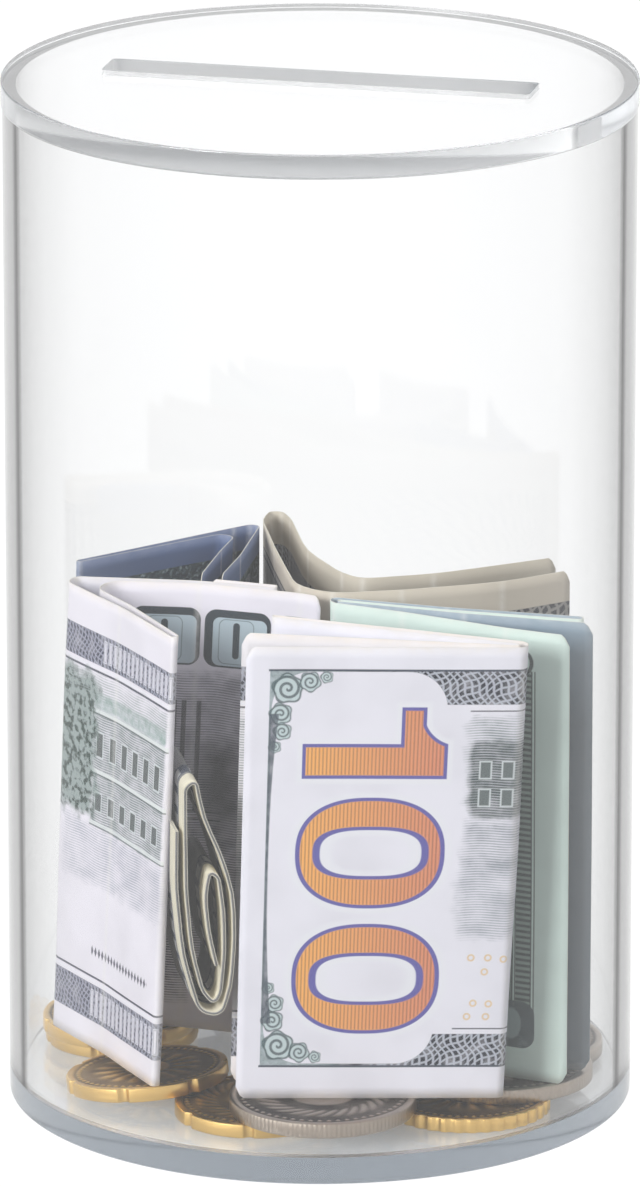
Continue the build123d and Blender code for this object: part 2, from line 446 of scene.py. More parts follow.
class Print:
    """A paper material, on which layers of ink are laid over each other.
    x runs along the note and y up its width, in millimetres."""

    def __init__(self, name, paper, seed):
        self.material, self.tree = new_material(name)
        uv = node(self.tree, "UVMap")
        uv.uv_map = "print"
        split = node(self.tree, "SeparateXYZ", Vector=uv.outputs["UV"])
        self.x, self.y = (Ink(self.tree, split.outputs[axis]) * MARK for axis in "XY")
        self.seed = seed
        plain = node(self.tree, "RGB")
        plain.outputs[0].default_value = srgb(*paper)
        self.colour = plain.outputs[0]
        self.ink((self.noise(0.09, 3.0) - 0.42) * 1.1, tuple(level * 0.86 for level in paper))
        self.rub = (self.noise(0.5) * 1.2 + 0.35).least(1.0)

    def noise(self, scale, detail=2.0, stretch=(1.0, 1.0), shift=0.0):
        """Smooth noise with this many lumps to a millimetre."""
        place = node(self.tree, "CombineXYZ", X=self.x * stretch[0], Y=self.y * stretch[1],
                     Z=self.seed * 7.3 + shift)
        cloud = node(self.tree, "TexNoise", Vector=place, Scale=scale,
                     Detail=detail)
        return Ink(self.tree, cloud.outputs[0])

    def box(self, x0, y0, x1, y1, corner=0.0):
        """Distance to a rectangle with round corners."""
        dx = abs(self.x - (x0 + x1) / 2) - ((x1 - x0) / 2 - corner)
        dy = abs(self.y - (y0 + y1) / 2) - ((y1 - y0) / 2 - corner)
        if not corner:
            return dx.most(dy)
        far = (dx.most(0).power(2) + dy.most(0).power(2)).power(0.5)
        return far + dx.most(dy).least(0) - corner

    def oval(self, cx, cy, half_x, half_y, squareness=2.0):
        """Roughly the distance to an oval, or to a squarer one."""
        reach = (abs((self.x - cx) / half_x).power(squareness)
                 + abs((self.y - cy) / half_y).power(squareness)).power(1 / squareness)
        return (reach - 1) * min(half_x, half_y)

    def lace(self, pitch):
        """Cover of pale wavy lines woven over dark ground."""
        x, y = self.x, self.y
        first = (x * 1.0 + y * 0.45 + (y * 1.7).wave() * 0.28).lines(pitch, 0.34)
        second = (x * 0.55 - y * 0.9 + (x * 1.3).wave() * 0.3).lines(pitch * 0.9, 0.3)
        return first.least(second).within(0.08)

    def ink(self, cover, colour, depth=1.0):
        self.colour = mix_colours(self.tree, (cover * depth).capped(), self.colour, colour)

    def fill(self, shape, colour, depth=1.0, soft=0.05):
        self.ink(shape.within(soft), colour, depth)

    def block(self, x0, y0, x1, y1, colour, depth=1.0, corner=0.0):
        self.fill(self.box(x0, y0, x1, y1, corner), colour, depth)

    def finish(self):
        fibres = self.noise(2.2, 4.0, shift=9.0) + self.noise(0.25, shift=11.0) * 2.0
        bump = node(self.tree, "Bump", Height=fibres, Strength=0.25, Distance=0.06 * MM)
        body = node(self.tree, "BsdfPrincipled", Base_Color=self.colour, Roughness=0.72,
                    Specular_IOR_Level=0.3, Normal=bump)
        node(self.tree, "OutputMaterial", Surface=body)
        return self.material

    def worn(self, knots, edge_tone):
        """The finished material, rubbed along its folds and soiled along its long edges."""
        for crease in knots[1:-1]:
            near = (abs(self.x - crease) - 0.25).within(0.5)
            self.ink(near * self.noise(1.4, 3.0, shift=2.0), (238, 236, 232), 0.75)
        rim = (self.y - 0.6).within(0.8).most((NOTE_W - 0.6 - self.y).within(0.8))
        self.ink(rim * self.noise(0.8, shift=4.0), edge_tone, 0.7)
        return self.finish()


# ---- what is printed: places and sizes are millimetres on the flat note ----
DARK = (26, 29, 44)
LONG = 165                 # past the far end of every note


def engraving(p, x0, y0, x1, y1, ink, tone=0.5, pitch=0.38, fade=2.5, shift=0):
    """A patch of level engraved lines that swell and thin over a vague picture."""
    picture = p.noise(0.28, 3, stretch=(1, 1.3), shift=shift)
    ragged = p.box(x0, y0, x1, y1, 1) + (p.noise(0.6, shift=shift + 3) - 0.5) * fade
    swell = (picture - 0.5) * 0.5 + (tone - 0.5) * 0.3
    wobble = (p.x * 0.7).wave() * 0.12
    lines = (p.y + wobble).pingpong(pitch / 2) - pitch * 0.25 - swell * pitch
    p.ink(ragged.within(fade * 0.35) * lines.within(0.09) * p.rub, ink, 0.85)


def windows(p, x0, y0, columns, rows, step_x, step_y, ink):
    """A grid of plain framed openings."""
    inside = p.box(x0, y0, x0 + columns * step_x, y0 + rows * step_y).within()
    local_x = (p.x - x0).pingpong(step_x / 2) - step_x / 2
    local_y = (p.y - y0).pingpong(step_y / 2) - step_y / 2
    hole = (abs(local_x) - step_x * 0.22).most(abs(local_y) - step_y * 0.28)
    p.ink(inside * (hole - 0.22).within(0.08), (214, 220, 222), 0.9)
    p.ink(inside * hole.within(0.08), ink, 0.85)


def lace_band(p, cover, ink, paper):
    p.ink(cover * p.rub, ink)
    p.ink(cover * p.lace(0.9), paper, 0.62)


def tick_row(p, cover, y0, y1, pitch, half, height, pale, outline, rim):
    """A row of small plain ticks, where a real note has its lettering."""
    local = p.x.pingpong(pitch) - pitch / 2
    ticks = (abs(local) - half).most(abs(p.y - (y0 + y1) / 2) - (y1 - y0) * height)
    p.ink(cover * ticks.within(0.08), pale, 0.95)
    p.ink(cover * (abs(ticks + rim[0]) - rim[1]).within(0.05), outline, 0.7)


def scroll(p, cx, cy, radius, ink, paper):
    """A leafy curl: a spiral in a ring, with lobes round it."""
    dx, dy = p.x - cx, p.y - cy
    reach = (dx.power(2) + dy.power(2)).power(0.5)
    angle = dy.math("ARCTAN2", dx)
    lobes = reach - (angle * 5 + cx).wave() * radius * 0.08
    p.fill(lobes - radius, ink, 0.9, soft=0.1)
    pitch = radius / 2.2
    spiral = (reach - angle * (pitch / math.tau)).lines(pitch, 0.6)
    p.ink((lobes - radius * 0.88).within(0.1) * spiral.within(0.08), paper, 0.9)


def numeral_end(p):
    """Large orange numerals that read along the note's width, in a scrolled frame."""
    x, y = p.x, p.y
    left, right, low, high = 3.4, 60, 4.8, 63.6
    field = p.box(left, low, right, high).within()
    clear = p.box(left + 0.3, low + 0.4, 28.3, high - 0.2, 5.5)
    clear = clear.least(p.box(15, 9.6, right, 58.6, 2))
    dark_frame = field * (clear * -1).within(0.06)
    corner_grey = (x - 14).within(3)
    p.ink(dark_frame * p.rub, mix_colours(p.tree, corner_grey, DARK, (88, 104, 110)))
    woven = dark_frame * (19 - x).within(1.5)
    p.ink(woven * p.lace(1), (206, 210, 222), 0.75)
    p.ink(dark_frame * (x - 14).within(2) * p.noise(1.6, 3, shift=5), (196, 208, 212))
    corner_scrolls = ((2.5, 0, 2.2), (5.6, 1, 1.5), (7.9, 1.7, 0.9), (1.6, -3.7, 1.6),
                      (1.9, -6.3, 1.3), (0.9, -8.6, 0.9))
    for cy, side in ((high - 2.7, 1), (low + 3.1, -1)):
        for inwards, up, radius in corner_scrolls:
            scroll(p, left + inwards, cy + up * side, radius, (62, 84, 88), (202, 216, 218))
    off_middle = abs(y - (low + high) / 2)
    taper = (off_middle / 24).power(2.5) * 1.1 + 0.4
    spine = (x - left - taper).most(left - x).most(off_middle - 23)
    p.ink(spine.within(0.08) * p.rub, (70, 80, 92), 0.9)
    for level in (low, high):
        p.block(left - 0.2, level - 0.15, right, level + 0.15, (62, 70, 84))
    p.block(31.5, 57.55, right, 57.75, (70, 72, 80), 0.9)
    p.block(31, 10.3, right, 10.5, (60, 62, 74), 0.9)

    # the numeral 1: a bar, a foot and a swooping flag; then two noughts
    bar = p.box(8.2, 47.6, 28.6, 52.75)
    flag = p.box(22, 47.6, 25.5, 58.2)
    hollow = 4.9 - ((x - 30).power(2) + (y - 57.5).power(2)).power(0.5)
    swoop = p.box(22, 50, 28.6, 57.4).most(hollow)
    figures = bar.least(flag).least(swoop)
    for middle in (36.6, 17.9):
        outer = p.oval(18.2, middle, 10.6, 8.2, 2.4)
        inner = p.oval(18.3, middle, 7.2, 3.4, 2.8)
        figures = figures.least(outer.most(0 - inner))
    p.fill(figures - 0.75, (236, 236, 242), 0.8, soft=0.25)
    p.fill(figures, (98, 94, 166))
    warm = mix_colours(p.tree, (x - 8) / 20, (250, 184, 100), (224, 146, 112))
    p.fill(figures + 0.5, warm)
    stripes = (figures + 0.55).within() * x.lines(0.53, 0.38).within(0.09)
    p.ink(stripes, (132, 66, 58), 0.6)

    engraving(p, 31.5, 44, 62, 56.5, (84, 104, 104), 0.45, shift=1)
    engraving(p, 31.8, 41.8, 62, 53.2, (44, 64, 62), 1.3, fade=1.2, shift=2)
    windows(p, 32.4, 42.8, 6, 2, 3.1, 4.1, (52, 68, 68))
    engraving(p, 31.4, 34, 62, 41.5, (120, 128, 138), 0.5, shift=7)
    engraving(p, 31, 24, 62, 35, (136, 144, 154), 0.45, shift=3)
    for cx, cy in ((33.2, 20.4), (35.6, 20.4), (37.8, 20.2), (35.2, 18.3), (33.8, 13.6),
                   (36, 13.5), (33, 11.6), (35.7, 11.6)):
        p.fill(abs(p.oval(cx, cy + 0.6, 0.42, 0.42)) - 0.12, (226, 190, 128), 0.8, soft=0.08)


def banded_side(p, ink, ornament=True):
    """A side with a laced band along each long edge and an engraved view between them."""
    x, y = p.x, p.y
    for y0, y1 in ((57, 62), (3.9, 9.6)):
        lace_band(p, p.box(-5, y0, LONG, y1).within(), ink, (188, 190, 204))
        if ornament:
            shown = ((x * 0.11).wave() + 0.35).above(0)
            p.ink(p.box(-5, y0 + 0.7, LONG, y1 - 0.7).within() * shown, ink)
            tick_row(p, shown, y0, y1, 1.3, 0.36, 0.34, (226, 226, 236), (88, 90, 104),
                     (0.17, 0.05))
    for level in (56.5, 10.1):
        p.fill(abs(y - level) - 0.16, (232, 232, 238))
    for level in (56, 10.7):
        p.ink((abs(y - level) - 0.14).within() * p.rub, ink, 0.9)
    engraving(p, -5, 30, LONG, 55, (92, 108, 110), 0.55, shift=6)
    view = p.noise(0.1, 1, stretch=(1, 0.4), shift=14)
    p.ink(p.box(-5, 31, LONG, 53, 2).within(1.2) * ((view - 0.56) * 5).capped()
          * p.noise(1.3, 3, shift=15), (42, 66, 62), 1.4)


def view_of_a_house(p, x0, x1):
    """A plain long building in engraved lines."""
    engraving(p, x0, 33, x1, 50.5, (84, 106, 102), 0.85, pitch=0.36, fade=1, shift=21)
    columns = int((x1 - x0) / 3.6)
    windows(p, x0 + 0.6, 42.2, columns, 1, 3.6, 6.2, (24, 36, 36))
    windows(p, x0 + 0.6, 34.4, columns, 1, 3.6, 4.6, (34, 46, 48))
    for level in (50.2, 41.2, 33.4):
        p.block(x0 - 0.6, level - 0.3, x1 + 0.6, level + 0.3, (226, 230, 230), 0.9)
        p.block(x0 - 0.6, level - 0.5, x1 + 0.6, level - 0.28, (70, 86, 86), 0.9)
    p.ink(p.box(x0, 50.6, x1, 53, 0.8).within(0.3) * p.noise(1, shift=23),
          (128, 158, 150), 1.2)


def medallion(p, cx, cy, half_x, half_y, ink, paper):
    """An oval frame round an engraved ground."""
    inside = p.oval(cx, cy, half_x, half_y)
    p.fill(inside, paper, 0.9, soft=0.2)
    for inset, width in ((0.7, 0.3), (1.6, 0.12)):
        p.fill(abs(inside + inset) - width, ink, 0.9)
    engraving(p, cx - half_x + 2.4, cy - half_y + 3.4, cx + half_x - 2.4, cy + half_y - 3.4,
              ink, 0.7, shift=cx)


# ---- notes ----
BEND_SHARE, WIDEST_BEND = 0.45, 30


def rounded_path(points, step):
    """A polyline with tangent arcs at its corners, sampled no further apart than step.
    Returns the places and the distance along the line at each."""
    points = [np.array(p, float) for p in points]
    line = [points[0]]
    for before, corner, after in zip(points, points[1:], points[2:]):
        run_in, run_out = corner - before, after - corner
        a, b = unit(run_in), unit(run_out)
        turn = math.acos(float(np.clip(a @ b, -1, 1)))
        shorter = min(np.linalg.norm(run_in), np.linalg.norm(run_out))
        radius = min(WIDEST_BEND, BEND_SHARE * shorter / math.tan(turn / 2))
        cut = radius * math.tan(turn / 2)
        side = 1 if a[0] * b[1] - a[1] * b[0] > 0 else -1
        middle = corner - a * cut + side * radius * np.array([-a[1], a[0]])
        arm = corner - a * cut - middle
        count = max(2, int(math.degrees(turn) / 12))
        for k in range(count + 1):
            angle = side * turn * k / count
            c, s = math.cos(angle), math.sin(angle)
            line.append(middle + np.array([arm[0] * c - arm[1] * s, arm[0] * s + arm[1] * c]))
    line.append(points[-1])
    fine = [line[0]]
    for a, b in zip(line, line[1:]):
        count = max(1, math.ceil(np.linalg.norm(b - a) / step))
        fine += [a + (b - a) * k / count for k in range(1, count + 1)]
    fine = np.array(fine)
    along = np.concatenate([[0], np.cumsum(np.linalg.norm(np.diff(fine, axis=0), axis=1))])
    knots = [along[np.argmin(np.linalg.norm(fine - point, axis=1))] for point in points]
    return fine, along, knots


def sheet_piece(name, places, marks, materials, thickness=PAPER):
    """A thin closed sheet through a grid of places (n, m, 3), with marks (n, m, 2) as its
    UV map.  materials are for its right side, its wrong side and its cut edge."""
    n, m = places.shape[:2]
    along, across = np.gradient(places, axis=0), np.gradient(places, axis=1)
    normal = unit(np.cross(along, across))
    vertices = np.concatenate([(places + normal * thickness / 2).reshape(-1, 3),
                               (places - normal * thickness / 2).reshape(-1, 3)])
    index = np.arange(n * m).reshape(n, m)
    back = n * m
    a, b, c, d = index[:-1, :-1], index[1:, :-1], index[1:, 1:], index[:-1, 1:]
    right = np.stack([a, b, c, d], -1).reshape(-1, 4)
    wrong = np.stack([a, d, c, b], -1).reshape(-1, 4) + back
    border = np.concatenate([index[:, 0], index[-1, 1:], index[-2::-1, -1], index[0, -2:0:-1]])
    after = np.roll(border, -1)
    rim = np.stack([border, border + back, after + back, after], -1)
    faces = np.concatenate([right, wrong, rim])
    piece = build(name, vertices.tolist(), faces.tolist(), *materials)
    mesh = piece.data
    kinds = np.repeat([0, 1, 2], [len(right), len(wrong), len(rim)])
    mesh.polygons.foreach_set("material_index", kinds.astype(np.int32))
    mesh.polygons.foreach_set("use_smooth", kinds < 2)
    flat_marks = np.concatenate([marks.reshape(-1, 2)] * 2)
    layer = mesh.uv_layers.new(name="print")
    corners = np.empty(len(mesh.loops), np.int32)
    mesh.loops.foreach_get("vertex_index", corners)
    layer.data.foreach_set("uv", flat_marks[corners].astype(np.float32).ravel())
    mesh.update()
    return piece


def waves(along, up, seed, size):
    """A gentle unevenness of handled paper."""
    phases = np.random.default_rng(seed).uniform(0, math.tau, 6)
    a, u = along[:, None], up[None, :]
    return size * (np.sin(a / 9 + phases[0]) * np.sin(u / 17 + phases[1])
                   + 0.5 * np.sin(a / 5.3 + u / 11 + phases[2])
                   + 0.3 * np.sin(u / 4.7 - a / 13 + phases[3]))


def left_normal(path):
    """Unit vectors square to a path, on its left."""
    tangent = unit(np.gradient(path, axis=0))
    return np.stack([-tangent[:, 1], tangent[:, 0]], 1)


def paper_note(name, x, y, z, along, width, sides, slot, thickness=PAPER):
    """A note through heap-frame places in millimetres.  along and width say where each
    row and column of the grid lies on the flat note."""
    places = (x[..., None] * heap_x + y[..., None] * heap_y + z[..., None] * UP) * MM
    marks = np.stack(np.broadcast_arrays(along[:, None] / MARK, width[None, :] / MARK), -1)
    piece = sheet_piece(name + "_paper", places, marks, (*sides, paper_edge()), thickness)
    declare(piece, name, slot)


def standing_note(name, mouth, lean, slot, seed, sides, rows=40, wrap=0.5):
    """A folded note that stands on its long edge.  mouth is the path of its upper edge,
    and lean says how far its foot stands to the left at each fold.  wrap rounds its
    corners.  sides gives the materials of its two faces."""
    path, along, knots = rounded_path(mouth, 1.2)
    up = np.linspace(0, NOTE_W, rows)
    sideways = left_normal(path)
    off = waves(along, up, seed, 0.1)
    slope = np.interp(along, knots, np.broadcast_to(lean, len(knots)))
    x = path[:, 0, None] + slope[:, None] * (up / NOTE_W - 1) + sideways[:, 0, None] * off
    y = path[:, 1, None] + sideways[:, 1, None] * off
    z = np.broadcast_to(NOTE_Z + up[None, :], x.shape).copy()
    for i, j, di, dj in ((0, 0, 1, 1), (0, -1, 1, -1), (-1, 0, -1, 1), (-1, -1, -1, -1)):
        for line in (x, y):
            line[i, j] += wrap * (line[i + di, j] - line[i, j])
        z[i, j] += wrap * dj
    paper_note(name, x, y, z, along, up, sides(name, knots, seed), slot)


def paper_edge():
    """The cut edge of a note, where the sheet's pale core shows."""
    if "paper_edge" not in bpy.data.materials:
        p = Print("paper_edge", (232, 228, 216), 1)
        p.ink(p.noise(1.5, 3), (200, 192, 176), 0.5)
        p.finish()
    return bpy.data.materials["paper_edge"]


# Each of these makes a note's right side and then its wrong side.
def front_sides(name, knots, seed):
    p = Print(name + "_numbers", (236, 234, 243), seed)
    numeral_end(p)
    yield p.worn(knots, (228, 218, 196))
    p = Print(name + "_view", (238, 234, 238), seed + 0.5)
    banded_side(p, DARK)
    yield p.worn(knots, (240, 224, 196))


def left_sides(name, knots, seed):
    p = Print(name + "_back", (228, 226, 236), seed)
    banded_side(p, DARK)
    yield p.worn(knots, (226, 214, 192))

    p = Print(name + "_view", (236, 232, 241), seed + 0.5)
    x, y = p.x, p.y
    fold = knots[6]
    panel = fold - 1
    dark, pale = (52, 54, 76), (236, 234, 242)
    for y0, y1 in ((57, 61.6), (3.9, 9.4)):
        lace_band(p, p.box(panel, y0, LONG, y1).within(), dark, (188, 190, 208))
        row = p.box(panel, y0 + 0.6, panel + 22, y1 - 0.6).within()
        tick_row(p, row, y0, y1, 1.35, 0.4, 0.36, (232, 230, 240), (96, 98, 116), (0.2, 0.06))
    edge = p.box(panel, 0, LONG, 70).within()
    for level, tone in ((56.5, pale), (56, dark), (9.9, pale), (10.5, dark)):
        p.ink(edge * (abs(y - level) - 0.16).within(), tone)
    view_of_a_house(p, fold + 0.5, fold + 22.5)
    trees = p.box(fold + 22, 34, 160, 55, 2)
    ragged = (trees + (p.noise(0.35, shift=32) - 0.5) * 5).within(1)
    p.ink(ragged, (116, 138, 132), 0.8)
    leaf = p.noise(0.9, 4, shift=31)
    p.ink(ragged * ((leaf - 0.47) * 9).capped(), (34, 56, 50))
    engraving(p, fold, 52, fold + 30, 55.6, (150, 160, 160), 0.35, shift=33)
    engraving(p, fold, 24.5, fold + 30, 33, (144, 150, 166), 0.34, shift=34)
    beads = abs(x.pingpong(1) - 0.5) + abs(y - 14.4) * 0.5 - 0.38
    p.fill(beads.most(p.box(fold + 3, 13.2, fold + 21, 15.6)), dark, 0.9, soft=0.06)

    inner = p.box(-5, 0, panel, 70).within()
    for x0, x1 in ((-3.5, 7), (7.6, 17.6), (18.2, 28.4)):
        p.block(x0, 54.8, x1, 63.4, (44, 54, 62), corner=1.8)
        p.fill(p.box(x0 + 0.35, 54.8, x1 - 1, 62.5, 1.3) + 0.25, (186, 202, 210))
        middle = (x0 + x1) / 2 + 0.2
        p.block(middle - 0.5, 56.2, middle + 0.5, 61.6, (46, 58, 66), corner=0.5)
        outline = abs(p.box(middle - 2.6, 55.4, middle + 2.6, 62, 1)) - 0.06
        p.fill(outline, (90, 112, 120), 0.8)
    # Engraved hatching, partly print and partly painted shade: the lower patch is inked
    # darker.
    engraving(p, 10, 8, 34, 53.5, (104, 104, 116), 0.75, shift=35)
    engraving(p, 18, 4, 34, 40, (70, 70, 82), 0.6, shift=37)
    for x0 in (17.6, 19.8, 21.2):
        p.ink(inner * p.box(x0, 33, x0 + 0.7, 49.5).within(), (40, 42, 52), 0.85)
    for level in (33, 31.8):
        p.ink(inner * p.box(14, level - 0.25, 24, level).within(), (60, 62, 70), 0.8)
    # Painted shade: a black patch and dark blotches on the inner panel near the curl's top,
    # where it lies in shadow.
    painted_shade_blotches = ((p.noise(0.12, shift=36) - 0.45) * 4).capped()
    p.ink(inner * p.box(12, 33, 17, 43, 2).within(2), (30, 31, 40), 0.9)
    p.ink(inner * p.box(5, 20, 17, 38, 3).within(1.5) * painted_shade_blotches, (38, 40, 48), 0.95)
    yield p.worn(knots, (240, 228, 204))


def right_sides(name, knots, seed):
    p = Print(name + "_blue", (150, 168, 184), seed)
    banded_side(p, (34, 46, 56), ornament=False)
    p.block(knots[-1] - 9, -1, 170, 70, (138, 158, 174))
    # Painted shade: a dark blue-grey fill over most of this side, fading to lighter paper
    # towards the top edge.
    p.fill(p.box(-5, -12, 170, 60), (62, 84, 98), 0.96, soft=8)
    yield p.worn(knots, (214, 222, 226))

    p = Print(name + "_green", (212, 230, 222), seed + 0.5)
    ink = (40, 56, 58)
    # Painted shadow: a dark field over this side beyond the ladder, for the shadow that
    # note_front casts on it.
    p.block(8, 5, 160, 62, (96, 114, 108), 0.9)
    ladder = p.box(5.3, 7.6, 7.6, 61)
    p.fill(ladder, (120, 140, 132), 0.8)
    p.ink(ladder.within() * p.y.lines(0.85, 0.5).within(0.08), ink, 0.95)
    for place in (4.9, 5.35, 7.7, 8.1):
        p.block(place - 0.09, 7.6, place + 0.09, 61, ink, 0.9)
    p.fill(abs(p.oval(10, 62.2, 4.6, 2.6, 2.2)) - 0.16, ink, 0.95)
    block = p.box(4.7, 4.6, 13.5, 11.6, 2).within()
    p.ink(block * p.rub, (44, 58, 64))
    p.ink(block * p.noise(2, 3, shift=41), (90, 108, 112), 0.8)
    p.fill(p.oval(8.2, 8.2, 1.5, 2.3), (150, 168, 168), 0.8, soft=0.15)
    engraving(p, 9, 12, 160, 56, (52, 66, 66), 0.75, shift=42)
    yield p.worn(knots, (232, 236, 226))


def back_sides(name, knots, seed):
    p = Print(name + "_outer", (206, 196, 182), seed)
    x, y = p.x, p.y
    front = knots[10]
    fore = p.box(front, 4.2, 170, 62.4).within()
    p.ink(fore, (60, 60, 66))
    p.ink(fore * p.lace(1.5), (168, 164, 160), 0.8)
    scrolls = abs((x * 1.7).wave() * 1.2 + y - 59.5) - 0.22
    p.ink(fore * scrolls.within(0.08), (196, 190, 182), 0.9)
    limb = p.box(knots[7], 0, front - 1, 63)
    p.fill(limb, (176, 172, 172), 0.9)
    p.ink(limb.within() * x.lines(1.5, 0.45).within(0.2) * p.noise(0.5, shift=50),
          (84, 86, 94), 1.5)
    for level in (63.4, 62.3):
        p.block(knots[7], level - 0.3, front, level + 0.1, (70, 72, 82), 0.9)
    rear = p.box(-5, 3.9, knots[5], 62).within()
    p.ink(rear * p.lace(1.2) * p.rub, (92, 92, 96), 0.8)
    medallion(p, 10, 32, 7.5, 13, (78, 76, 80), (214, 206, 192))
    yield p.worn(knots, (220, 210, 190))
    p = Print(name + "_inner", (194, 186, 172), seed + 0.5)
    banded_side(p, (66, 66, 74), ornament=False)
    yield p.worn(knots, (214, 204, 184))


def far_left_sides(name, knots, seed):
    for label, shade in (("_outer", 0), ("_inner", 0.5)):
        p = Print(name + label, (88, 106, 144), seed + shade)
        # The dark field is the note's print, laid darker as painted shade.
        field = p.box(-5, 4, 170, 63.3).within()
        p.ink(field, (52, 68, 76), 0.95)
        p.ink(field * ((p.noise(1.5, 4, shift=60) - 0.5) * 7).capped(),
              (150, 168, 170), 0.8)
        p.ink(field * p.lace(1.3), (40, 54, 60), 0.75)
        medallion(p, (knots[4] + knots[5]) / 2, 32, 9, 14, (46, 60, 74), (160, 172, 186))
        p.block(knots[2] + 12, 58.5, knots[2] + 15.5, 62.2, (120, 128, 140), 0.8)
        yield p.worn(knots, (176, 182, 204))


# Each note's mouth, lean, slot and sides.
NOTES = {
    "note_front": ([
        (-10.2, -31), (28.7, -31), (28.7, -28.3), (-6.9, -15), (-6.5, -16.2),
        (27.6, -29.2), (27.6, -30.1), (-10.9, -23.9)],
        (1.7, 3, 3, 2, 2, 2.8, 2.8, 1.8), "note_lilac", front_sides),
    "note_right": ([
        (34.4, -25.3), (26, -21.4), (11.6, -13.6), (1.5, -8.9), (1.5, -6.2),
        (18, -11.3), (36.7, -16.2), (36.4, -17.3), (18, -12.6), (2.6, -7.5),
        (2.6, -8.4), (20.3, -14.4), (37.7, -19.3)], 0, "note_green", right_sides),
    "note_back": ([
        (34.5, 13.8), (16.4, 5.6), (6, 3), (3, 6), (-2, 17.5), (-4.4, 34),
        (-5.6, 37.6), (-7.4, 37.8), (-8.6, 33.5), (-6.8, 19.7), (-3.4, -0.4), (1.6, -4.4),
        (11.7, -2.6), (26.3, 1.4), (36.3, 7.2)], 0, "note_cream", back_sides),
    "note_left": ([
        (0.1, -6.2), (-2.8, -4.4), (-17.3, 0.6), (-34.4, 2.6), (-27, -10.2),
        (-19.5, -25.6), (-20.6, -26.2), (-28.2, -11), (-36.3, 1.6), (-35.4, 4.2),
        (-17.3, 2), (-6.4, -1.4), (-6.1, -0.4), (-16, 3)], 3, "note_grey", left_sides),
    "note_far_left": ([
        (-17.2, 4.8), (-14.3, 17.5), (-11.6, 28.2), (-35.2, 11.4), (-35.8, 12.3),
        (-10.3, 30.8), (-9, 30.2), (-11.5, 15), (-14.2, 4.6)],
        (1.8, 1.8, 1.8, 1.8, 1.8, 0.6, 0.2, 0.2, 1), "note_blue", far_left_sides),
}


def make_notes():
    for seed, (name, (mouth, lean, slot, sides)) in enumerate(NOTES.items()):
        standing_note(name, mouth, lean, slot, seed, sides)


# ---- the curled note: X and height of its long side, seen from the front ----
CURL = [(-14.4, 24), (-15.5, 29), (-16, 34.5), (-15.3, 38), (-14.1, 37.2),
        (-13.4, 32), (-13.3, 26), (-13.9, 19.8), (-14.8, 18.4), (-16.3, 20),
        (-17.9, 26.5), (-18.6, 35), (-18.7, 44), (-18.7, 50.5), (-17.2, 51.5),
        (-16.2, 46), (-13.9, 40.8), (-12.1, 35), (-11.9, 28), (-12.4, 21),
        (-13.8, 16.6), (-16.8, 17.2), (-19.1, 25.5), (-20, 35.5), (-19.9, 44)]
CURL_FRONT, CURL_PLY = -31, 0.13
CURL_PLIES = 4
CURL_DEPTH = NOTE_W / CURL_PLIES
CURL_SKEW = -3.2             # how far the strip's back end stands to the left
CURL_PAPER = 0.1 * MM


def curl_sides(name, seed):
    for label, shade in (("_outer", 0), ("_inner", 0.5)):
        p = Print(name + label, (226, 219, 198), seed + shade)
        off_middle = abs(p.y - NOTE_W / 2)
        print_and_painted_shade_area = (off_middle - (NOTE_W / 2 - 4.2)).within()
        # A grey field, partly print and partly painted shade: it is laid dark for the curl's
        # shaded side.
        p.ink(print_and_painted_shade_area, (122, 122, 124), 0.95)
        from_band = abs(off_middle - 27)
        p.fill(from_band - 1.6, (70, 76, 92))
        links = (from_band - 1.1).most(p.x.lines(3, 0.62))
        p.fill(links, (206, 206, 204), 0.9, soft=0.12)
        p.ink(print_and_painted_shade_area * p.y.lines(0.5, 0.4).within(0.1) * p.noise(0.4, shift=70),
              (70, 70, 72), 0.9)
        yield p.worn((), (214, 200, 168))


def curled_note(name, slot, seed):
    """A note folded lengthways into four plies and curled up on its long side."""
    path, along, _ = rounded_path(CURL, 0.5)
    normal = left_normal(path)
    rows = []
    for ply in range(CURL_PLIES):
        line = [(share, share * CURL_DEPTH, 0) for share in np.linspace(0.02, 0.98, 12)]
        if ply < CURL_PLIES - 1:
            line += [(0.98 + 0.04 * turn / math.pi,
                      0.98 * CURL_DEPTH + math.sin(turn) * CURL_PLY / 2,
                      (1 - math.cos(turn)) / 2) for turn in np.linspace(0, math.pi, 7)[1:-1]]
        for share, deep, lift in line:
            rows.append(((ply + share) * CURL_DEPTH, CURL_DEPTH - deep if ply % 2 else deep,
                         (ply + lift - (CURL_PLIES - 1) / 2) * CURL_PLY))
    width, depth, offset = np.array(rows).T
    unevenness = 1 + 0.04 * np.sin(along / 9)[:, None]
    x = path[:, 0, None] + normal[:, 0, None] * offset + CURL_SKEW * (depth / CURL_DEPTH)
    y = CURL_FRONT + depth[None, :] * unevenness
    z = path[:, 1, None] + normal[:, 1, None] * offset + base_top / MM
    paper_note(name, x, y, z, along, width, curl_sides(name, seed), slot,
               CURL_PAPER)


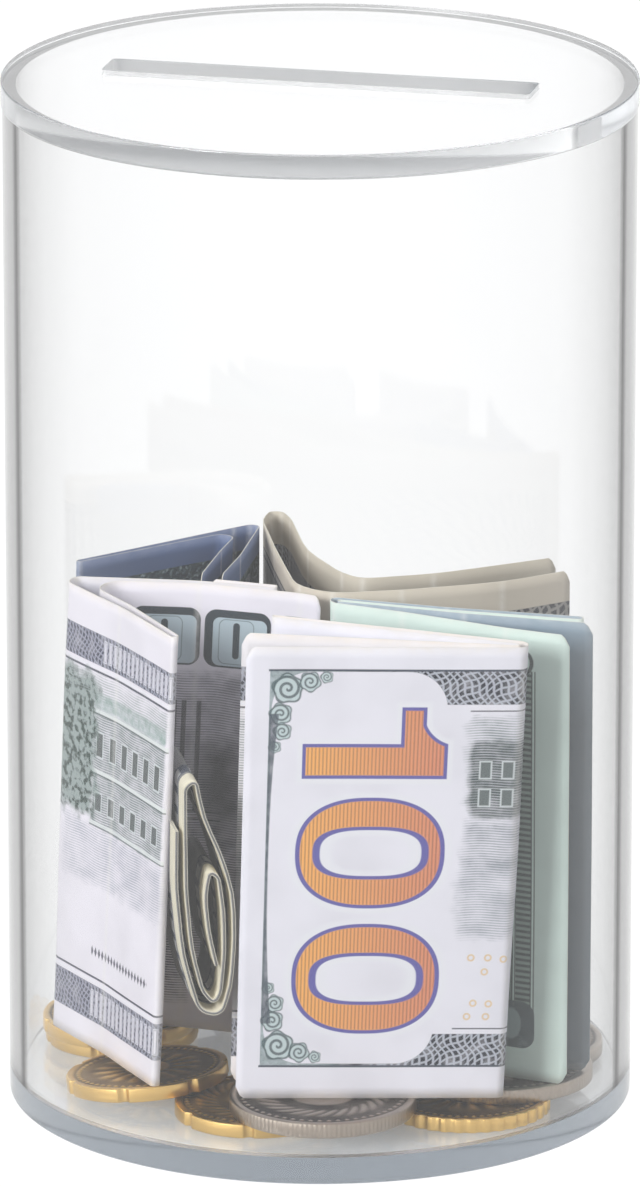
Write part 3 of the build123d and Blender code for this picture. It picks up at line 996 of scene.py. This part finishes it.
# ---- coins ----
COINS = [                    # name, X, Y, underside, diameter, thickness, edge, lean, design
    ("left_lower", -29.3, 9.5, 4.0, 22.9, 2.1, "notched", (0, 0), "sun"),
    ("left_upper", -29.6, 7.8, 6.1, 22.9, 2.1, "notched", (0, 0), "wreath"),
    ("front_left", -24.4, -15.0, 5.34, 22.9, 2.1, "notched", (-0.097, 0.063), "sun"),
    ("front_inner", -9.1, -25.0, 4.0, 22.9, 2.1, "notched", (0, 0), "wreath"),
    ("front_centre", 0.4, -29.2, 6.1, 26.4, 2.2, "reeded", (0, 0), "wreath"),
    ("front_right", 20.6, -22.4, 4.0, 23.6, 2.1, "scalloped", (0, 0), "sun"),
    ("right_upper", 25.2, -14.7, 6.1, 26.4, 2.2, "reeded", (0, 0), "sun"),
    ("right_lower", 29.7, 3.0, 4.0, 23.6, 2.1, "reeded", (0, 0), "wreath"),
    ("back_lower", -3.0, 26.0, 4.0, 26.4, 2.1, "reeded", (0, 0), "sun"),
    ("back_upper", 2.0, 21.0, 6.1, 22.9, 2.2, "notched", (0, 0), "wreath"),
]
BRASS = ("left_lower", "left_upper", "front_left", "front_inner", "front_right", "back_upper")
COIN_RIM, COIN_FIELD = 1.1, 0.15
RELIEF_TOP = 0.14            # the highest relief over the field, below the rim


def edge_dip(kind, radius, angles):
    """How far the edge dips inside the coin's round, for each direction."""
    if kind == "reeded":
        return 0.035 * (1 + np.cos(angles * 120))
    count, size, stand = (7, 0.85, 0.35) if kind == "notched" else (36, 1.0, 0.75)
    step = math.tau / count
    away = np.abs((angles + step / 2) % step - step / 2) * radius
    return np.maximum(np.sqrt(np.maximum(size * size - away * away, 0)) - stand, 0)


def relief(design, radius, reach, angles):
    """Height of a coin's generic design over its field: a ring of beads inside the rim,
    and a sun or a wreath in the middle."""
    r, a = np.meshgrid(reach, angles, indexing="ij")
    beads = 56
    off = ((a * beads / math.tau) % 1 - 0.5) * math.tau * radius / beads
    bead = np.sqrt(((r - (radius - 1.75)) / 0.3) ** 2 + (off / 0.36) ** 2)
    height = 0.2 * np.clip(1.25 - bead, 0, 1)
    inner = radius * 0.68
    if design == "sun":
        rays = np.cos(a * 16) * 0.5 + 0.5
        height += (0.10 * rays ** 2 * np.clip((inner - r) / 1.2, 0, 1)
                   * np.clip((r - 3.4) / 0.8, 0, 1))
        height += 0.12 * np.clip((3.2 - r) / 0.4, 0, 1) - 0.05 * np.clip((1.9 - r) / 0.3, 0, 1)
    else:
        leaves = np.sin(a * 14 + (r - inner) * 1.6) ** 2
        height += 0.11 * leaves * np.clip(1.6 - np.abs(r - inner + 0.8), 0, 1)
        disc = np.clip((radius * 0.36 - r) / 0.5, 0, 1)
        height += 0.07 * disc + 0.05 * disc * np.cos(r * 5.2) ** 2
    return np.minimum(1.6 * height, RELIEF_TOP)


def coin_metal(name, bright, dark, worn):
    """Worn coin metal, dull in its hollows and bright where it is handled."""
    material, tree = new_material(name)
    where = node(tree, "TexCoord").outputs["Object"]
    patches, broad, scratches = (
        node(tree, "TexNoise", Vector=where, Scale=scale, Detail=detail).outputs[0]
        for scale, detail in ((260.0, 5.0), (90.0, 2.0), (2600.0, 3.0)))
    struck = node(tree, "Attribute")
    struck.attribute_name = "struck"
    tarnish = (Ink(tree, patches) * 0.7 + Ink(tree, broad) * 0.6 + 0.2).capped()
    share = (tarnish * (1.0 - Ink(tree, struck.outputs["Fac"]))).capped()
    bump = node(tree, "Bump", Height=scratches, Strength=0.18, Distance=0.03 * MM)
    body = node(tree, "BsdfPrincipled", Base_Color=mix_colours(tree, share, bright, dark),
                Metallic=1.0, Roughness=share * 0.22 + worn, Normal=bump)
    node(tree, "OutputMaterial", Surface=body)
    return material


def coin_rings(radius, dip, shapes, field):
    """Rings from the coin's middle to its edge: reach, height over the rim's flat, and
    how far each is worn bright."""
    def even(level):
        return np.full(dip.shape, level)

    rim_in, edge = radius - COIN_RIM, radius - dip
    rings = [(even(r), lift - COIN_FIELD, np.clip(lift / 0.16, 0, 1) ** 0.7 * 0.9)
             for r, lift in zip(field, shapes)]
    return rings + [(even(rim_in + 0.12), even(-0.02), even(0.5)),
                    (even(rim_in + 0.3), even(0.0), even(0.8)),
                    (edge - 0.28, even(0.0), even(0.9)),
                    (edge - 0.1, even(-0.05), even(1.0)),
                    (edge, even(-0.22), even(0.8))]


def coin_piece(name, x, y, underside, diameter, thickness, kind, lean, design, material, slot):
    radius = diameter / 2
    around = 720 if kind == "reeded" else 504
    angles = np.arange(around) * math.tau / around
    rim_in = radius - COIN_RIM
    field = np.concatenate([np.linspace(0.4, rim_in - 2.4, 22),
                            np.linspace(rim_in - 2.2, rim_in - 0.1, 14)])
    rings = coin_rings(radius, edge_dip(kind, radius, angles),
                       relief(design, radius, field, angles), field)
    reach, height, bright = (np.stack(parts) for parts in zip(*rings))
    reach = np.concatenate([reach, reach[::-1]])
    level = np.concatenate([-height, thickness + height[::-1]])
    turned = angles - 3.0 + 2.0 * len(name)      # every coin is turned another way
    local = np.stack([reach * np.cos(turned), reach * np.sin(turned), level], -1)
    middle = np.array([[0, 0, COIN_FIELD], [0, 0, thickness - COIN_FIELD]])
    axis = unit(lean[0] * heap_x + lean[1] * heap_y + UP)
    along = unit(heap_x - axis * (heap_x @ axis))
    seat = x * heap_x + y * heap_y + underside * UP
    points = np.concatenate([local.reshape(-1, 3), middle])
    points = points @ np.stack([along, np.cross(axis, along), axis]) + seat
    index = np.arange(reach.size).reshape(reach.shape)
    after = np.roll(index, -1, axis=1)
    quads = np.stack([index[:-1], after[:-1], after[1:], index[1:]], -1)
    faces = quads.reshape(-1, 4).tolist()
    faces += [[reach.size, b, a] for a, b in zip(index[0], after[0])]
    faces += [[reach.size + 1, a, b] for a, b in zip(index[-1], after[-1])]
    piece = build("coin_" + name + "_struck", (points * MM).tolist(), faces, material)
    shine = np.concatenate([bright.ravel(), bright[::-1].ravel(), np.zeros(2)])
    layer = piece.data.attributes.new("struck", "FLOAT", "POINT")
    layer.data.foreach_set("value", shine.astype(np.float32))
    declare(piece, "coin_" + name, slot)


def make_coins():
    brass = coin_metal("worn_brass", (230, 192, 120), (78, 54, 32), 0.26)
    silver = coin_metal("worn_silver", (172, 160, 148), (40, 33, 30), 0.28)
    for name, *shape in COINS:
        metal, slot = (brass, "brass_coin") if name in BRASS else (silver, "silver_coin")
        coin_piece(name, *shape, metal, slot)


make_camera()
make_floor()
make_underlay()
make_world()
make_lights()
bpy.context.scene.view_settings.view_transform = "Standard"
bounces = bpy.context.scene.cycles
bounces.max_bounces, bounces.glossy_bounces, bounces.transmission_bounces = 128, 100, 100
bounces.diffuse_bounces, bounces.transparent_max_bounces = 3, 64
make_jar()
make_notes()
curled_note("note_curl", "note_cream_dark", 9)
make_coins()
